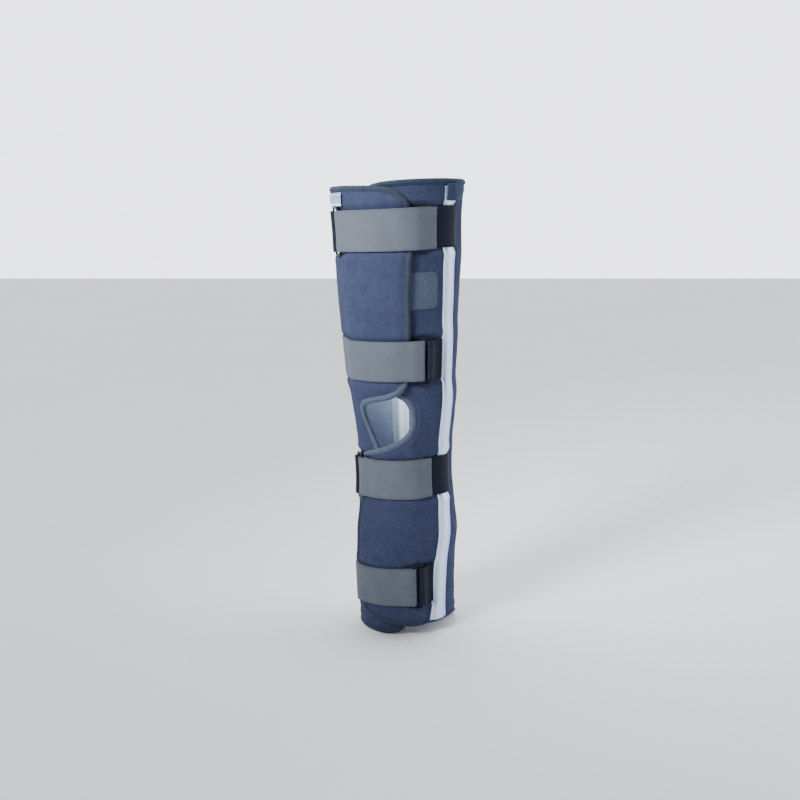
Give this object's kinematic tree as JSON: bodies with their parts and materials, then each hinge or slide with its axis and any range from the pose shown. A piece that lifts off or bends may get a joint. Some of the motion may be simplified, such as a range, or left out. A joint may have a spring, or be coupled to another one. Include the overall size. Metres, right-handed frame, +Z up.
{
  "type": "knee immobilizer",
  "caption": "Long foam knee immobilizer standing upright, with crossed front flaps, a kneecap window, a white stay pocket and webbing straps through loops.",
  "frame": {"origin": "on the floor, in the middle of the brace's footprint as it stands on its bottom rim", "axes": "+Z up along the leg, -Y to the front with the kneecap window, +X to the side with the white stay pocket"},
  "size_m": [0.1734, 0.1778, 0.5779],
  "materials": {
    "foam_laminate": "brushed knit laminated to foam, dark slate blue",
    "edge_tape": "knit binding tape, blue grey",
    "webbing": "woven strap with a slight sheen, grey",
    "tab_webbing": "woven strap, charcoal",
    "loop_plastic": "moulded, black, satin",
    "pocket_satin": "smooth satin, white",
    "hook_patch": "matt hook fabric, grey",
    "woven_label": "woven, pale blue, bare"
  },
  "bodies": {
    "root": {"wrap": "foam_laminate", "edge_tape_top": "edge_tape", "edge_tape_bottom": "edge_tape", "edge_tape_inner_flap": "edge_tape", "edge_tape_outer_flap": "edge_tape", "thigh_strap_upper": "webbing", "thigh_strap_upper_tab": "tab_webbing", "thigh_strap_upper_loop": "loop_plastic", "thigh_strap_lower": "webbing", "thigh_strap_lower_tab": "tab_webbing", "thigh_strap_lower_loop": "loop_plastic", "calf_strap_upper": "webbing", "calf_strap_upper_tab": "tab_webbing", "calf_strap_upper_loop": "loop_plastic", "calf_strap_lower": "webbing", "calf_strap_lower_tab": "tab_webbing", "calf_strap_lower_loop": "loop_plastic", "stay_pocket": "pocket_satin", "stay_pocket_flap": "foam_laminate", "back_stay_pocket": "pocket_satin", "closure_patch": "hook_patch", "label": "woven_label"}
  },
  "joints": []
}
